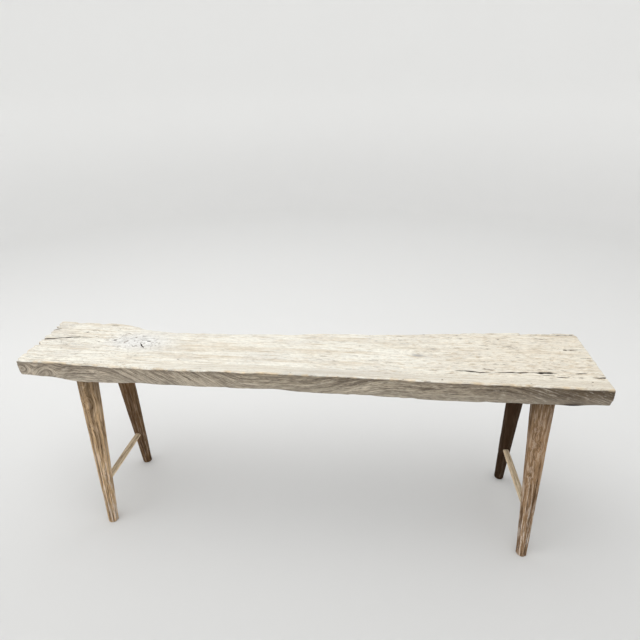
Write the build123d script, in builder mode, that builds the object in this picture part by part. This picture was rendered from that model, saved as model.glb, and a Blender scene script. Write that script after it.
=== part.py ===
from build123d import *
import os

# Backless bench: a live-edge plank seat on four splayed round legs.
# Each pair of end legs is tied by a round stretcher.
# Millimetres, +Z up, +X along the seat, -Y is the straight front edge.
# The origin is on the floor, below the middle of the whole bench.

# ---- Overall sizes -------------------------------------------------------
seat_length = 1250.0
seat_height = 457.0
seat_thickness = 43.0

# ---- Seat outline, seen from above ---------------------------------------
# How far each long edge stands from the centre line, at evenly spaced
# stations from the left end to the right end.
front_reach = [123.0, 125.0, 128.0, 124.0, 123.0, 121.0, 121.0, 120.0, 121.0]
back_reach = [
    81.0, 74.0, 73.0, 47.0, 42.0, 44.0, 49.0, 55.0, 64.0, 70.0, 77.0, 86.0, 98.0, 107.0, 119.0, 125.0,
]
left_end_skew = 15.0        # the front left corner lies this far inside the end
right_end_skew = 8.0        # both right corners lie this far inside the end

# ---- Seat underside, seen from the front ---------------------------------
# Extra thickness at evenly spaced stations from the left end to the right end.
underside_wave = [-10.0, 0.0, -2.0, -1.0, 0.0, 2.0, 3.0, 2.0, -8.0]
corner_radius = 6.0         # worn corners of the plank, seen from above
worn_edge = 4.0             # rounding of the seat's worn upper arrises

# ---- Legs ----------------------------------------------------------------
leg_foot_d = 23.5
leg_top_d = 48.0
leg_seating = 3.0           # depth of the flat seat cut for each leg's shoulder
shoulder_relief = 1.0       # the flat seat is this much larger all round
foot_chamfer = 1.5
# name, end of the seat, inset of the leg's top from that end, leg's top from
# the centre line, and how far the foot stands outwards along X and along Y
leg_places = [
    ("front_left", -1, 140.0, -79.0, -6.0, -46.0),
    ("front_right", 1, 116.0, -73.0, 9.0, -49.0),
    ("back_left", -1, 151.0, 41.0, 12.0, 51.0),
    ("back_right", 1, 120.0, 69.0, 14.0, 56.0),
]

# ---- Leg joints: blind round tenons, each spread by a hidden wedge -------
tenon_d = 32.0
mortise_cover = 13.0        # wood left above each mortise
tenon_end_gap = 0.8         # between the tenon's end and the mortise's floor
fit_clearance = 0.15        # all round a tenon in its mortise
wedge_length = 19.0
wedge_thick = 4.0
wedge_thin = 1.2
wedge_fit = 0.1             # each side of the wedge in its kerf

# ---- Stretchers: one between the two legs of each end --------------------
stretcher_height = 115.0
stretcher_d = 15.0
stretcher_tenon_d = 14.0
stretcher_past_axis = 3.0   # the tenon ends this far past the leg's own axis
stretcher_end_gap = 0.5     # between that end and the bottom of its hole
stretcher_swell = 30.0      # length over which the rod thickens from its tenon
stretcher_places = [("left", "front_left", "back_left"), ("right", "front_right", "back_right")]

# ---- Derived levels ------------------------------------------------------
half_length = seat_length / 2
seat_bottom = seat_height - seat_thickness
shoulder_level = seat_bottom + leg_seating
mortise_level = seat_height - mortise_cover
clear_of_cut = 50.0         # how far a cutting shape passes the solid it cuts


def spread(values, start, end):
    """Points of one edge: the given offsets at evenly spaced stations."""
    step = (end - start) / (len(values) - 1)
    return [(start + i * step, value) for i, value in enumerate(values)]


def leg_line(place):
    """Foot and shoulder centres of a leg."""
    side, inset, top_y, out_x, out_y = place[1:]
    top = Vector(side * (half_length - inset), top_y, shoulder_level)
    foot = Vector(top.X + side * out_x, top_y + out_y, 0)
    return foot, top


def leg_plane(place):
    """A plane at the leg's shoulder centre, with its Z axis up the leg."""
    foot, top = leg_line(place)
    return Plane(origin=top, x_dir=(1, 0, 0), z_dir=(top - foot).normalized())


def leg_radius(level):
    """Radius of the tapered leg at a level above the floor."""
    return (leg_foot_d + (leg_top_d - leg_foot_d) * level / shoulder_level) / 2


def leg_point(place, level):
    """The point of a leg's axis at a level above the floor."""
    foot, top = leg_line(place)
    return foot + (top - foot) * (level / shoulder_level)


def stretcher_plane(place, other):
    """A plane on the axis of one leg, with its Z axis towards the other leg."""
    start = leg_point(place, stretcher_height)
    end = leg_point(other, stretcher_height)
    return Plane(origin=start, x_dir=(0, 0, 1), z_dir=(end - start).normalized())


def mortise_depth(plane):
    """Distance up a leg's axis from its shoulder to the mortise's floor."""
    return (mortise_level - shoulder_level) / plane.z_dir.Z


def wedge_profile(plane, side_fit):
    """Points of the wedge's tapered section, thick at the tenon's end."""
    tip = mortise_depth(plane) - tenon_end_gap
    thick = wedge_thick / 2 + side_fit
    thin = wedge_thin / 2 + side_fit
    return [(-thick, tip), (thick, tip), (thin, tip - wedge_length), (-thin, tip - wedge_length)]


def wedge_plane(plane):
    """A plane across the wedge, with its Y axis up the leg."""
    return Plane(origin=plane.origin, x_dir=plane.x_dir, z_dir=-plane.y_dir)


legs = {place[0]: place for place in leg_places}
partners = {}
for side_name, front_name, back_name in stretcher_places:
    partners[front_name] = legs[back_name]
    partners[back_name] = legs[front_name]

os.makedirs("parts", exist_ok=True)

# ---- Seat slab -----------------------------------------------------------
front_left = -half_length + left_end_skew
corner_right = half_length - right_end_skew
front_points = [(x, -reach) for x, reach in spread(front_reach, front_left, corner_right)]
back_points = spread(back_reach, -half_length, corner_right)
right_middle = (half_length, (back_points[-1][1] + front_points[-1][1]) / 2)
under_points = [
    (x, seat_bottom - wave) for x, wave in spread(underside_wave, -half_length, half_length)
]

outer_x = half_length + clear_of_cut
below_level = seat_bottom - 2 * clear_of_cut
below_points = [
    (outer_x, under_points[-1][1]),
    (outer_x, below_level),
    (-outer_x, below_level),
    (-outer_x, under_points[0][1]),
]

with BuildPart() as seat_slab:
    with BuildSketch(Plane.XY.offset(seat_height)):
        with BuildLine():
            Spline(*front_points)
            ThreePointArc(front_points[-1], right_middle, back_points[-1])
            Spline(*reversed(back_points))
            Line(back_points[0], front_points[0])
        make_face()
    extrude(amount=-(seat_thickness + clear_of_cut))
    fillet(seat_slab.edges().filter_by(Axis.Z), corner_radius)
    with BuildSketch(Plane.XZ):
        with BuildLine():
            Spline(*under_points)
            Polyline(under_points[-1], *below_points, under_points[0])
        make_face()
    extrude(amount=max(front_reach + back_reach) + clear_of_cut, both=True, mode=Mode.SUBTRACT)
    fillet(seat_slab.faces().sort_by(Axis.Z)[-1].edges(), worn_edge)
    for place in leg_places:
        plane = leg_plane(place)
        with BuildSketch(Plane.XY.offset(shoulder_level)):
            with Locations((plane.origin.X, plane.origin.Y)):
                Circle(leg_top_d / 2 + shoulder_relief)
        extrude(amount=-clear_of_cut, mode=Mode.SUBTRACT)
        with BuildSketch(plane.offset(-clear_of_cut)):
            Circle(tenon_d / 2 + fit_clearance)
        extrude(amount=clear_of_cut + mortise_depth(plane), mode=Mode.SUBTRACT)
seat_slab.part.label = "seat_slab"
export_step(seat_slab.part, "parts/seat_slab.step")

# ---- Legs, each with its round tenon, and the wedge in the tenon's kerf --
for place in leg_places:
    name = place[0]
    foot, top = leg_line(place)
    plane = leg_plane(place)
    length = (top - foot).length
    slope = (leg_top_d - leg_foot_d) / 2 / length
    tenon_length = mortise_depth(plane) - tenon_end_gap
    rung = stretcher_plane(place, partners[name])

    with BuildPart() as leg:
        with BuildSketch(plane.offset(-length - clear_of_cut)):
            Circle(leg_foot_d / 2 - slope * clear_of_cut)
        with BuildSketch(plane.offset(clear_of_cut)):
            Circle(leg_top_d / 2 + slope * clear_of_cut)
        loft()
        split(bisect_by=Plane.XY, keep=Keep.TOP)
        split(bisect_by=Plane.XY.offset(shoulder_level), keep=Keep.BOTTOM)
        chamfer(leg.faces().sort_by(Axis.Z)[0].edges(), foot_chamfer)
        with BuildSketch(plane.offset(-leg_top_d / 2)):
            Circle(tenon_d / 2)
        extrude(amount=leg_top_d / 2 + tenon_length)
        with BuildSketch(wedge_plane(plane)):
            Polygon(*wedge_profile(plane, wedge_fit), align=None)
        extrude(amount=tenon_d, both=True, mode=Mode.SUBTRACT)
        with BuildSketch(rung.offset(-stretcher_past_axis - stretcher_end_gap)):
            Circle(stretcher_tenon_d / 2 + fit_clearance)
        extrude(amount=leg_top_d, mode=Mode.SUBTRACT)
    leg.part.label = "leg_" + name
    export_step(leg.part, "parts/leg_" + name + ".step")

    with BuildPart() as wedge:
        with BuildSketch(wedge_plane(plane)):
            Polygon(*wedge_profile(plane, 0), align=None)
        extrude(amount=tenon_d, both=True)
        with BuildSketch(plane):
            Circle(tenon_d / 2)
        extrude(amount=clear_of_cut, mode=Mode.INTERSECT)
    wedge.part.label = "wedge_" + name
    export_step(wedge.part, "parts/wedge_" + name + ".step")

# ---- Stretchers ----------------------------------------------------------
for side_name, front_name, back_name in stretcher_places:
    start = leg_point(legs[front_name], stretcher_height)
    end = leg_point(legs[back_name], stretcher_height)
    rung = stretcher_plane(legs[front_name], legs[back_name])
    length = (end - start).length
    bare = leg_radius(stretcher_height)
    tenon_r = stretcher_tenon_d / 2
    rod_r = stretcher_d / 2
    with BuildPart() as stretcher:
        with BuildSketch(Plane(origin=rung.origin, x_dir=rung.z_dir, z_dir=rung.y_dir)):
            Polygon(
                (-stretcher_past_axis, 0),
                (-stretcher_past_axis, tenon_r),
                (bare, tenon_r),
                (bare + stretcher_swell, rod_r),
                (length - bare - stretcher_swell, rod_r),
                (length - bare, tenon_r),
                (length + stretcher_past_axis, tenon_r),
                (length + stretcher_past_axis, 0),
                align=None,
            )
        revolve(axis=Axis(rung.origin, rung.z_dir))
    stretcher.part.label = "stretcher_" + side_name
    export_step(stretcher.part, "parts/stretcher_" + side_name + ".step")
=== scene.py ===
"""A rustic backless bench: a bleached live-edge plank on four hewn legs, each end pair tied by a stretcher.

The plank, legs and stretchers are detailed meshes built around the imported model.
The hidden wedges keep theirs.
"""

import math

import bmesh
import bpy
import numpy as np
from bpy.props import FloatProperty, FloatVectorProperty, IntProperty, PointerProperty
from mathutils import Matrix, Vector
from mathutils.bvhtree import BVHTree


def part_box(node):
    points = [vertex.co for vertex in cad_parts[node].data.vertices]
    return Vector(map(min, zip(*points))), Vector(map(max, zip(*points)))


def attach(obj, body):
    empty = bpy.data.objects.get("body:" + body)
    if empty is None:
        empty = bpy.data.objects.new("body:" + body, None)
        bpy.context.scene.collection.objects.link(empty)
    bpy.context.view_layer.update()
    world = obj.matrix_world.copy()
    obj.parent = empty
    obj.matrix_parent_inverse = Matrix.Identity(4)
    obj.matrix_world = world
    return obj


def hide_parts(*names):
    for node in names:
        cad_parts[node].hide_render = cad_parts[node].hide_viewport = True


bl_info = {
    "name": "Rustic Plank Bench",
    "version": (1, 0, 0),
    "blender": (4, 5, 0),
    "location": "3D View > Sidebar > Bench",
    "description": "Builds a weathered plank bench around its measured frame",
    "category": "Add Mesh",
}

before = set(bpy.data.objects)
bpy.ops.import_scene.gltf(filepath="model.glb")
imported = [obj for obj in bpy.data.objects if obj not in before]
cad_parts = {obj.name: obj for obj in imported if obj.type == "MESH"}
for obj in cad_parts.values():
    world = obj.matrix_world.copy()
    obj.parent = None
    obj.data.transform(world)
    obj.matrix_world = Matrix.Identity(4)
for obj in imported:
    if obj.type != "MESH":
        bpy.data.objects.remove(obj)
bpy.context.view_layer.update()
MM = 0.001
BODY = "root"
TENON_RADIUS = 0.016
MORTISE_RADIUS = 0.01615        # with the clearance round a tenon
SEATING_RELIEF = 0.001          # round a leg's shoulder in its flat seat
ROD_RADIUS = 0.0075
ROD_END_RADIUS = 0.007
SOCKET_RADIUS = 0.00715         # with the clearance round a rod's end
KERF_CLEARANCE = 0.00017        # each side of a wedge
CORNERS = ("front_left", "front_right", "back_left", "back_right")
STRETCHERS = {"stretcher_left": "left", "stretcher_right": "right"}
SEAT_LOW, SEAT_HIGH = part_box("seat_slab")
SEAT_TOP = SEAT_HIGH.z

# Weather marks on the plank, in millimetres, with places (x, y) as seen from above.
# A split: its line, its width, its depth, and which of its ends runs out of the plank.
SPLITS = (
    ([(-642, -25), (-614, -22), (-590, -19), (-570, -12), (-542, -6), (-499, -5)], 7.0, 22, "first"),
    ([(-642, 8), (-618, 18), (-606, 29), (-596, 38)], 8.0, 20, "first"),
    ([(-642, -62), (-626, -60), (-612, -61)], 5.0, 12, "first"),
    ([(325, -77), (346, -76), (361, -77), (374, -79), (396, -79)], 4.2, 13, None),
    ([(402, -78), (430, -75), (455, -73), (485, -70)], 4.0, 13, None),
    ([(478, -70), (495, -70), (508, -69), (530, -67)], 7.5, 22, None),
    ([(494, -79), (507, -78), (522, -76)], 2.6, 8, None),
    ([(520, -84), (533, -83), (549, -82)], 3.6, 11, None),
    ([(562, -66), (576, -65), (590, -63)], 3.6, 11, None),
    ([(590, -78), (606, -79), (622, -77), (642, -75)], 6.5, 22, "last"),
    ([(-488, 60), (-478, 62), (-466, 62)], 4.0, 9, None),
    ([(574, 32), (597, 35), (614, 37)], 3.0, 9, None),
    ([(-376, -20), (-367, -31), (-357, -43)], 5.0, 12, None),
    ([(-391, -33), (-385, -38), (-378, -38)], 3.0, 9, None),
)
# A pit: its place, its half length, its half width and its depth.
PITS = (
    (-526, 20, 4.5, 2.2, 5), (-440, -12, 5.5, 3.2, 7), (-360, -10, 4.5, 2.6, 5), (-422, 22, 6.0, 1.8, 3),
    (-261, -84, 2.6, 1.6, 3), (575, 32, 4.5, 2.8, 6), (586, -95, 2.6, 1.8, 4), (-398, 4, 3.0, 1.6, 3),
    (-335, -30, 3.0, 1.8, 3), (-470, -52, 2.4, 1.5, 3), (-545, -60, 2.6, 1.4, 3), (441, 70, 3.4, 1.6, 3),
)
# A grey stain: its place, its half length, its half width and its strength.
STAINS = ((254, -21, 15, 9, 0.62), (270, -24, 9, 4, 0.30), (289, 12, 9, 4, 0.60), (226, 30, 11, 3, 0.40))
# Where the front face's lower arris rises: its place along the plank and its half length in metres,
# and its height.
LOWER_BUMPS = ((-0.345, 0.022, 2.6), (-0.05, 0.04, 2.6), (0.548, 0.02, -2.4), (-0.46, 0.06, -3.2))
# A notch in the back edge: its place along the plank, its half length and its depth, in metres.
BACK_NOTCHES = ((-0.572, 0.011, 0.006), (-0.512, 0.010, 0.004))
# A knot that the grain flows round: its place and its radius.
KNOTS = ((-372, -26, 30), (-442, -8, 18), (-505, -36, 20), (252, -18, 16), (289, 12, 9), (545, 40, 20))

# A leg's knots: the height, the turn round the leg and the size of each.
LEG_KNOTS = {
    "front_left": ((0.335, -1.75, 0.016), (0.135, -1.1, 0.006)),
    "front_right": ((0.30, -1.9, 0.010), (0.225, -2.2, 0.007)),
}
# How much each leg's top was hewn away or left proud, within the seat's relief.
LEFT_PROUD = {"front_left": -0.0007, "front_right": 0.0004, "back_left": 0.0, "back_right": -0.0007}


# ---- Repeatable noise ----------------------------------------------------

def cell_value(cell, seed):
    """A repeatable random value from -1 to 1 for each whole-number cell."""
    h = cell[:, 0] * 374761393 + cell[:, 1] * 668265263 + cell[:, 2] * 974634777
    h = (h + seed * 1274126177) & 0xFFFFFFFF
    h = ((h ^ (h >> 13)) * 1274126177) & 0xFFFFFFFF
    h = h ^ (h >> 16)
    return (h & 0xFFFFFF) / 0x7FFFFF - 1.0


def noise(points, size, seed=0, octaves=1):
    """Smooth noise from about -1 to 1, with features of the given size along each axis, in metres."""
    total = np.zeros(len(points))
    scale, weight = 1.0, 1.0
    for octave in range(octaves):
        p = points / np.asarray(size) * scale
        cell = np.floor(p).astype(np.int64)
        f = p - cell
        f = f * f * (3 - 2 * f)
        value = np.zeros(len(points))
        for dx in (0, 1):
            for dy in (0, 1):
                for dz in (0, 1):
                    share = (f[:, 0] if dx else 1 - f[:, 0]) * (f[:, 1] if dy else 1 - f[:, 1])
                    share = share * (f[:, 2] if dz else 1 - f[:, 2])
                    value += share * cell_value(cell + np.array((dx, dy, dz)), seed + octave)
        total += value * weight
        scale *= 2.03
        weight *= 0.5
    return total


def smooth(low, high, value):
    """0 below low, 1 above high, and a smooth step between."""
    t = np.clip((value - low) / (high - low), 0, 1)
    return t * t * (3 - 2 * t)


# ---- Mesh helpers --------------------------------------------------------

def mesh_points(mesh):
    """The mesh's vertices as an array."""
    co = np.empty(len(mesh.vertices) * 3, np.float32)
    mesh.vertices.foreach_get("co", co)
    return co.reshape(-1, 3).astype(float)


def set_points(mesh, points):
    """Moves the mesh's vertices."""
    mesh.vertices.foreach_set("co", points.astype(np.float32).ravel())
    mesh.update()


def store(mesh, name, values):
    """Keeps a number or a vector at each vertex, for the materials to read."""
    vector = values.ndim == 2
    attribute = mesh.attributes.new(name, "FLOAT_VECTOR" if vector else "FLOAT", "POINT")
    attribute.data.foreach_set("vector" if vector else "value", values.astype(np.float32).ravel())


def new_object(name, mesh):
    """A scene object that holds the mesh."""
    piece = bpy.data.objects.new(name, mesh)
    bpy.context.scene.collection.objects.link(piece)
    return piece


def edit(mesh, step):
    """Runs one editing step on the mesh."""
    work = bmesh.new()
    work.from_mesh(mesh)
    step(work)
    work.to_mesh(mesh)
    work.free()


def closed_mesh(name, points, faces):
    """A mesh whose faces all point outwards."""
    mesh = bpy.data.meshes.new(name)
    mesh.from_pydata([tuple(p) for p in points], [], faces)
    edit(mesh, lambda work: bmesh.ops.recalc_face_normals(work, faces=work.faces))
    return mesh


def lofted(name, rings):
    """A closed skin over a row of rings that all have the same number of points."""
    count = len(rings[0])
    points = np.concatenate(rings)
    faces = [list(range(count)), [(len(rings) - 1) * count + i for i in range(count)]]
    for r in range(len(rings) - 1):
        for i in range(count):
            j = (i + 1) % count
            faces.append([r * count + i, r * count + j, (r + 1) * count + j, (r + 1) * count + i])
    return closed_mesh(name, points, faces)


def combine(piece, mesh, operation):
    """Cuts the mesh from the piece, or adds it, and keeps the result as a plain mesh."""
    tool = new_object("tool", mesh)
    step = piece.modifiers.new("step", "BOOLEAN")
    step.operation = operation
    step.solver = "MANIFOLD"
    step.object = tool
    graph = bpy.context.evaluated_depsgraph_get()
    result = bpy.data.meshes.new_from_object(piece.evaluated_get(graph))
    if len(result.polygons) < 12:
        raise RuntimeError(f"{operation.lower()} left nothing of {piece.name}")
    piece.modifiers.remove(step)
    piece.data = result
    bpy.data.objects.remove(tool)


def shade(mesh, angle):
    """Smooth shading, with an edge wherever faces meet at more than the angle."""
    mesh.shade_smooth()
    mesh.set_sharp_from_angle(angle=angle)


def rod(name, start, end, radius, sides=48):
    """A straight round bar."""
    along = (end - start).normalized()
    across = along.orthogonal().normalized()
    other = along.cross(across)
    turn = np.linspace(0, 2 * math.pi, sides, endpoint=False)
    ring = np.outer(np.cos(turn), across) * radius + np.outer(np.sin(turn), other) * radius
    return lofted(name, [ring + np.array(start), ring + np.array(end)])


def finish_piece(piece, nodes, material):
    """Hands a finished piece to the frame in place of its nodes."""
    piece.data.materials.clear()
    piece.data.materials.append(material)
    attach(piece, BODY)
    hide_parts(*nodes)


# ---- Node trees ----------------------------------------------------------

class Tree:
    """Short ways to add and join the nodes of a material or of a Geometry Nodes tree."""

    def __init__(self, tree):
        self.tree = tree

    def feed(self, socket, value):
        """Sets an input, or links it where the value is an output. None leaves it alone."""
        if isinstance(value, bpy.types.NodeSocket):
            self.tree.links.new(value, socket)
        elif value is not None:
            socket.default_value = value

    def add(self, kind, *values, named=None, **settings):
        """A node with its settings, its inputs in order and its inputs by name."""
        node = self.tree.nodes.new(kind)
        for key, value in settings.items():
            setattr(node, key, value)
        for place, value in enumerate(values):
            self.feed(node.inputs[place], value)
        for key, value in (named or {}).items():
            self.feed(node.inputs[key], value)
        return node

    def math(self, operation, *values):
        """One step of arithmetic."""
        return self.add("ShaderNodeMath", *values, operation=operation).outputs[0]

    def times(self, first, *others):
        """The product of the values."""
        for other in others:
            first = self.math("MULTIPLY", first, other)
        return first

    def swing(self, noise, amount, base):
        """The base moved up and down by noise from 0 to 1."""
        return self.math("MULTIPLY_ADD", self.math("SUBTRACT", noise, 0.5), amount, base)

    def vector(self, operation, *values):
        """One step of vector arithmetic that gives a vector."""
        return self.add("ShaderNodeVectorMath", *values, operation=operation).outputs[0]

    def scaled(self, vector, factor):
        """The vector times a number."""
        return self.add("ShaderNodeVectorMath", vector, None, None, factor, operation="SCALE").outputs[0]

    def parts(self, vector):
        """The three numbers of a vector."""
        return self.add("ShaderNodeSeparateXYZ", vector).outputs

    def joint(self, x, y, z):
        """A vector of three numbers."""
        return self.add("ShaderNodeCombineXYZ", x, y, z).outputs[0]

    def noise(self, vector, stretch, detail=3.0, roughness=0.5, bend=0.0):
        """Noise from 0 to 1 with stretch features for each metre along each axis."""
        place = self.vector("MULTIPLY", vector, stretch)
        inputs = {"Vector": place, "Scale": 1.0, "Detail": detail, "Roughness": roughness, "Distortion": bend}
        return self.add("ShaderNodeTexNoise", named=inputs).outputs[0]

    def remap(self, value, low, high, to_low=0.0, to_high=1.0):
        """Moves a range of values onto another, and stops at its ends."""
        ranges = (low, high, to_low, to_high)
        return self.add("ShaderNodeMapRange", value, *ranges, interpolation_type="SMOOTHSTEP").outputs[0]

    def ridges(self, noise, count, width):
        """Thin lines where the noise crosses evenly spaced levels, from 0 between them to 1 on them."""
        level = self.math("FRACT", self.math("MULTIPLY", noise, count))
        off = self.math("ABSOLUTE", self.math("SUBTRACT", level, 0.5))
        return self.remap(off, width, width * 0.2)

    def mix(self, factor, first, second, blend="MIX"):
        """A mix of two colours."""
        node = self.add("ShaderNodeMix", data_type="RGBA", blend_type=blend)
        self.feed(node.inputs[0], factor)
        self.feed(node.inputs[6], first)
        self.feed(node.inputs[7], second)
        return node.outputs[2]

    def tinted(self, body, value):
        """A colour times a number."""
        return self.mix(1.0, body, self.joint(value, value, value), "MULTIPLY")

    def attribute(self, name, vector=False):
        """What the mesh keeps at its vertices under the name."""
        node = self.add("ShaderNodeAttribute", attribute_name=name)
        return node.outputs["Vector"] if vector else node.outputs["Fac"]


def colour(rgb):
    """A display colour from 0 to 255 as the linear colour that nodes take."""
    linear = [c / 255 / 12.92 if c <= 10 else ((c / 255 + 0.055) / 1.055) ** 2.4 for c in rgb]
    return (*linear, 1.0)


def shade_of(rgb, name, text):
    """A colour setting with its default."""
    default = colour(rgb)[:3]
    return FloatVectorProperty(
        name=name, description=text, default=default, size=3, subtype="COLOR", min=0, max=1,
    )


def metres(name, text, default, high, low=0.0):
    """A setting in metres."""
    return FloatProperty(name=name, description=text, default=default, min=low, max=high, unit="LENGTH")


def new_material(name):
    """A material with an empty tree, its tree helper and its shader."""
    material = bpy.data.materials.new(name)
    material.use_nodes = True
    tree = Tree(material.node_tree)
    shader = material.node_tree.nodes["Principled BSDF"]
    return material, tree, shader


def finish_wood(tree, shader, body, roughness, strength, distance, relief):
    """Gives a wood's shader its colour, its roughness and its grain's relief."""
    tree.feed(shader.inputs["Base Color"], body)
    tree.feed(shader.inputs["Roughness"], roughness)
    bump = tree.add("ShaderNodeBump", named={"Strength": strength, "Distance": distance, "Height": relief})
    tree.feed(shader.inputs["Normal"], bump.outputs[0])


def new_geometry_tree(name, inputs):
    """A Geometry Nodes tree with named inputs, as (name, socket type, default)."""
    group = bpy.data.node_groups.new(name, "GeometryNodeTree")
    group.interface.new_socket("Geometry", in_out="OUTPUT", socket_type="NodeSocketGeometry")
    for label, kind, default in inputs:
        socket = group.interface.new_socket(label, in_out="INPUT", socket_type=kind)
        if default is not None:
            socket.default_value = default
    tree = Tree(group)
    source = tree.add("NodeGroupInput").outputs
    return group, tree, source


def end_geometry(tree, geometry, material):
    """Ends a Geometry Nodes tree with real geometry and its material."""
    real = tree.add("GeometryNodeRealizeInstances", geometry).outputs[0]
    finished = tree.add("GeometryNodeSetMaterial", real, None, material).outputs[0]
    tree.add("NodeGroupOutput", finished)


def made_by(group, name, values, base=None):
    """Runs a Geometry Nodes tree once with the values for its named inputs, and gives the plain mesh."""
    holder = new_object(name, base or bpy.data.meshes.new(name))
    maker = holder.modifiers.new("maker", "NODES")
    maker.node_group = group
    inputs = [item for item in group.interface.items_tree if item.in_out == "INPUT"]
    sockets = {item.name: item.identifier for item in inputs}
    for label, value in values.items():
        maker[sockets[label]] = value
    graph = bpy.context.evaluated_depsgraph_get()
    mesh = bpy.data.meshes.new_from_object(holder.evaluated_get(graph))
    holder.modifiers.remove(maker)
    bpy.data.objects.remove(holder)
    if len(mesh.polygons) == 0:
        raise RuntimeError(f"{name} has no faces")
    return mesh


# ---- The plank's shape ---------------------------------------------------

def surface_of(node):
    """A node's surface, for measuring."""
    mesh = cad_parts[node].data
    corners = [v.co.copy() for v in mesh.vertices]
    return BVHTree.FromPolygons(corners, [tuple(p.vertices) for p in mesh.polygons])


def struck(tree, start, way):
    """Where a ray first meets a surface."""
    hit = tree.ray_cast(Vector(start), Vector(way))[0]
    if hit is None:
        raise RuntimeError(f"nothing to measure at {start}")
    return hit


def measured(stations, values):
    """A function through measured values that runs on straight past both ends."""
    first = np.polyfit(stations[:8], values[:8], 1)
    last = np.polyfit(stations[-8:], values[-8:], 1)

    def value(at):
        inside = np.interp(at, stations, values)
        inside = np.where(at < stations[0], np.polyval(first, at), inside)
        return np.where(at > stations[-1], np.polyval(last, at), inside)

    return value


class PlankShape:
    """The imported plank's edges, ends and underside."""

    def __init__(self):
        tree = surface_of("seat_slab")
        level = SEAT_TOP - 0.016
        near_y, far_y = -0.085, 0.045
        stations = np.linspace(SEAT_LOW.x + 0.032, SEAT_HIGH.x - 0.032, 190)
        front = np.array([struck(tree, (x, -0.5, level), (0, 1, 0)).y for x in stations])
        back = np.array([struck(tree, (x, 0.5, level), (0, -1, 0)).y for x in stations])
        under = np.array([struck(tree, (x, -0.02, -0.3), (0, 0, 1)).z for x in stations])
        self.front = measured(stations, front)
        self.back = measured(stations, back)
        self.under = lambda at: np.interp(at, stations, under)
        ends = []
        for side in (-1, 1):
            near = struck(tree, (side, near_y, level), (-side, 0, 0)).x
            far = struck(tree, (side, far_y, level), (-side, 0, 0)).x
            slope = (far - near) / (far_y - near_y)
            ends.append((near - near_y * slope, slope))
        self.left = lambda y: ends[0][0] + ends[0][1] * y
        self.right = lambda y: ends[1][0] + ends[1][1] * y

    def corner(self, share, edge):
        """Where a station that is a share of the way along the plank meets an edge."""
        x = SEAT_LOW.x + share * (SEAT_HIGH.x - SEAT_LOW.x)
        for _ in range(6):
            y = edge(x)
            x = self.left(y) + share * (self.right(y) - self.left(y))
        return x, edge(x)


SHAPE = PlankShape()
FACE_ROWS = 6
ARC_ROWS = 6
TOP_ROWS = 60
CAP_RINGS = 6
CORNER_RADIUS = 0.0055


def half_section(front, back, middle, level, front_round, back_round):
    """Half of the plank's section, from the middle of the front face over to the middle of the back."""
    way = 1 if level > middle else -1
    rise = np.linspace(0, 1, FACE_ROWS, endpoint=False)
    turn = np.linspace(0, math.pi / 2, ARC_ROWS, endpoint=False)
    run = np.linspace(0, 1, TOP_ROWS, endpoint=False)
    fall = np.linspace(0, 1, FACE_ROWS)
    front_top = level - way * front_round
    back_top = level - way * back_round
    y = np.concatenate((
        np.full(FACE_ROWS, front),
        front + front_round * (1 - np.cos(turn)),
        front + front_round + run * (back - back_round - front - front_round),
        back - back_round + back_round * np.sin(turn),
        np.full(FACE_ROWS, back),
    ))
    z = np.concatenate((
        middle + rise * (front_top - middle),
        front_top + way * front_round * np.sin(turn),
        np.full(TOP_ROWS, level),
        back_top + way * back_round * np.cos(turn),
        back_top + fall * (middle - back_top) * (1 - 0.5 / FACE_ROWS),
    ))
    return y, z


def plank_rings():
    """Every ring of the plank's skin, from one end to the other, with its roundings."""
    length = SEAT_HIGH.x - SEAT_LOW.x
    turn = np.linspace(0, math.pi / 2, 8)
    end = CORNER_RADIUS * (1 - np.cos(turn)) / length
    inner = np.linspace(end[-1], 1 - end[-1], 505)[1:-1]
    shares = np.concatenate((end, inner, 1 - end[::-1]))
    along = np.stack((shares * length, np.zeros(len(shares)), np.zeros(len(shares))), 1)
    wander = noise(along, (0.045, 1, 1), 11, 2)
    rough = noise(along, (0.09, 1, 1), 12, 2)
    rings = []
    for share, drift, wear in zip(shares, wander, rough):
        front_x, front_y = SHAPE.corner(share, SHAPE.front)
        back_x, back_y = SHAPE.corner(share, SHAPE.back)
        near = min(share, 1 - share) * length
        gap = max(CORNER_RADIUS - near, 0)
        inset = CORNER_RADIUS - math.sqrt(CORNER_RADIUS**2 - gap**2)
        lift = inset * 0.5
        high = SEAT_TOP - lift
        low = float(SHAPE.under((front_x + back_x) / 2)) + lift
        middle = (high + low) / 2
        front, back = front_y + inset, back_y - inset
        upper = half_section(front, back, middle, high, 0.0034 + 0.0012 * wear, 0.0055 + 0.0022 * drift)
        lower = half_section(front, back, middle, low, 0.0032 + 0.0010 * drift, 0.010 + 0.003 * wear)
        y = np.concatenate((upper[0], lower[0][::-1]))
        z = np.concatenate((upper[1], lower[1][::-1]))
        over = (y - front_y) / (back_y - front_y)
        rings.append(np.stack((front_x + over * (back_x - front_x), y, z), 1))
    return rings


def cap_rings(ring):
    """Rings that close in from an end's rim to its middle."""
    y, z = ring[:, 1], ring[:, 2]
    half = (z.max() - z.min()) / 2
    middle = (z.max() + z.min()) / 2
    target_y = np.clip(y, y.min() + half, y.max() - half)
    slope = (ring[np.argmax(y), 0] - ring[np.argmin(y), 0]) / (y.max() - y.min())
    closer = []
    for step in range(1, CAP_RINGS):
        share = step / CAP_RINGS
        new_y = y + (target_y - y) * share
        new_z = z + (middle - z) * share
        closer.append(np.stack((ring[:, 0] + slope * (new_y - y), new_y, new_z), 1))
    return closer


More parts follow.
